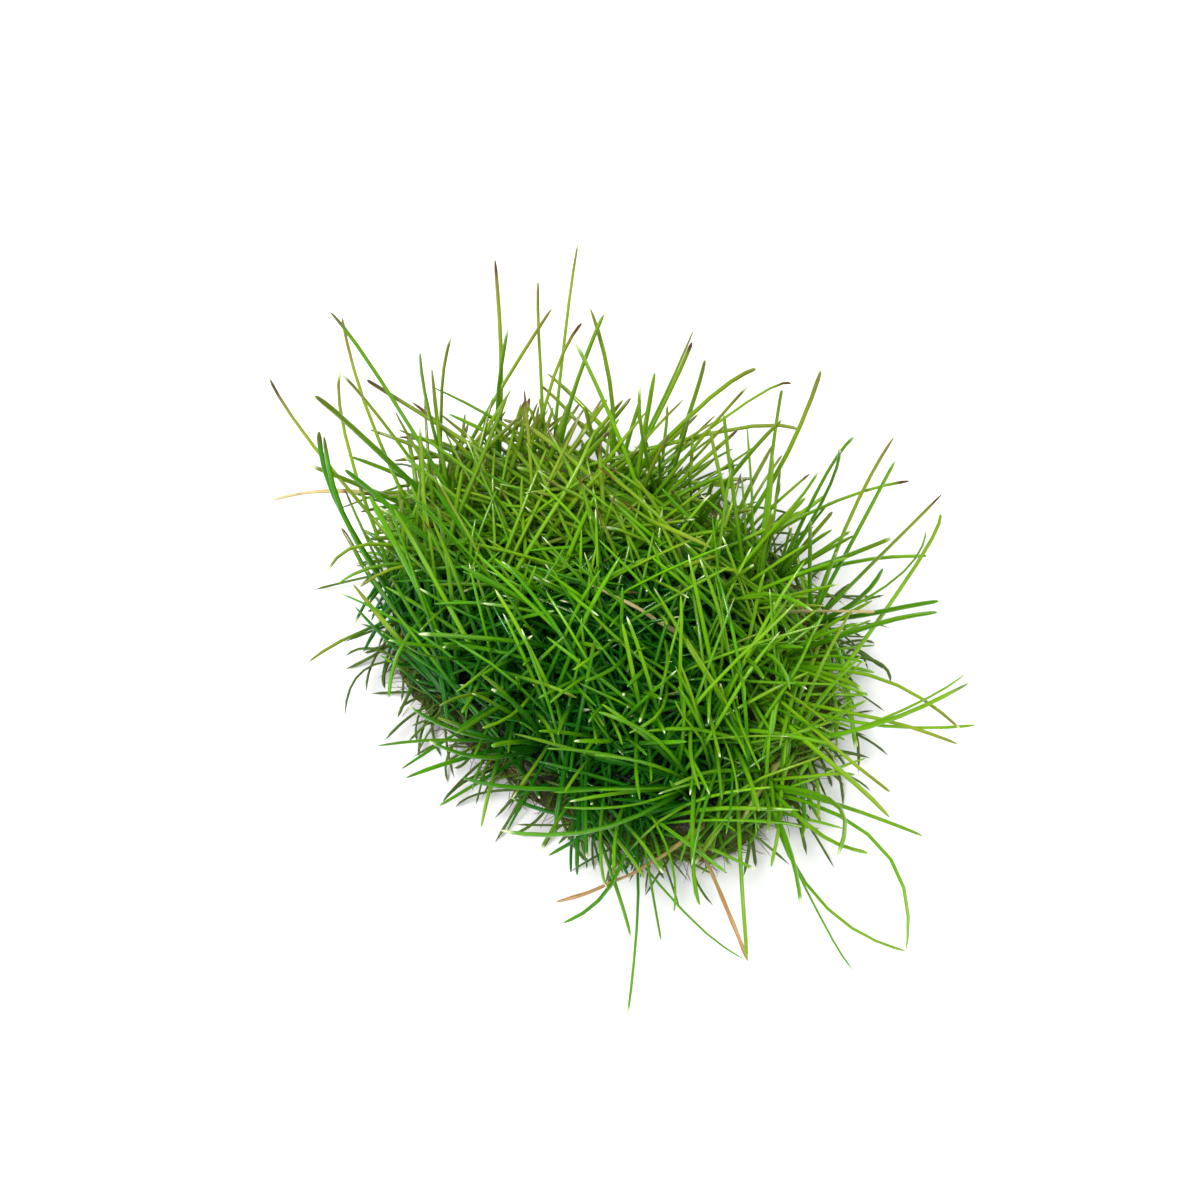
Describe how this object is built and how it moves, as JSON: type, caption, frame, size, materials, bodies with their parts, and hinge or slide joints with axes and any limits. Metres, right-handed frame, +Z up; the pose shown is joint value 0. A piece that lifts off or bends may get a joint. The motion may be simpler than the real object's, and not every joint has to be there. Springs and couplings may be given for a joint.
{
  "type": "dwarf hairgrass portion",
  "caption": "Portion of carpeting aquarium grass: tufts of hair-thin arching leaves on a low round mat of matted roots, with a few withered leaves among them.",
  "frame": {"origin": "on the resting surface, under the middle of the portion's bounding box", "axes": "+Z up along the growth of the leaves; +X to the right and -Y toward the eye of someone who looks at the portion from its front"},
  "size_m": [0.0566, 0.066, 0.0285],
  "materials": {
    "green_leaf": "wet, waxy green leaf",
    "matted_roots": "damp brown-green mat of roots",
    "withered_leaf": "withered orange-tan leaf",
    "straw_leaf": "withered straw-coloured leaf"
  },
  "bodies": {
    "root": {"root_mat": "matted_roots", "tuft_01": "green_leaf", "tuft_02": "green_leaf", "tuft_03": "green_leaf", "tuft_04": "green_leaf", "tuft_05": "green_leaf", "tuft_06": "green_leaf", "tuft_07": "green_leaf", "tuft_08": "green_leaf", "tuft_09": "green_leaf", "tuft_10": "green_leaf", "tuft_11": "green_leaf", "tuft_12": "green_leaf", "tuft_13": "green_leaf", "tuft_14": "green_leaf", "tuft_15": "green_leaf", "tuft_16": "green_leaf", "tuft_17": "green_leaf", "tuft_18": "green_leaf", "tuft_19": "green_leaf", "tuft_20": "green_leaf", "tuft_21": "green_leaf", "tuft_22": "green_leaf", "tuft_23": "green_leaf", "tuft_24": "green_leaf", "tuft_25": "green_leaf", "tuft_26": "green_leaf", "tuft_27": "green_leaf", "tuft_28": "green_leaf", "tuft_29": "green_leaf", "tuft_30": "green_leaf", "tuft_31": "green_leaf", "tuft_32": "green_leaf", "tuft_33": "green_leaf", "tuft_34": "green_leaf", "tuft_35": "green_leaf", "tuft_36": "green_leaf", "tuft_37": "green_leaf", "tuft_38": "green_leaf", "tuft_39": "green_leaf", "tuft_40": "green_leaf", "tuft_41": "green_leaf", "tuft_42": "green_leaf", "tuft_43": "green_leaf", "tuft_44": "green_leaf", "tuft_45": "green_leaf", "tuft_46": "green_leaf", "tuft_47": "green_leaf", "tuft_48": "green_leaf", "withered_leaf_front": "withered_leaf", "withered_leaf_front_left": "withered_leaf", "withered_leaf_left": "straw_leaf", "withered_leaf_middle": "straw_leaf", "withered_leaf_right": "straw_leaf"}
  },
  "joints": []
}
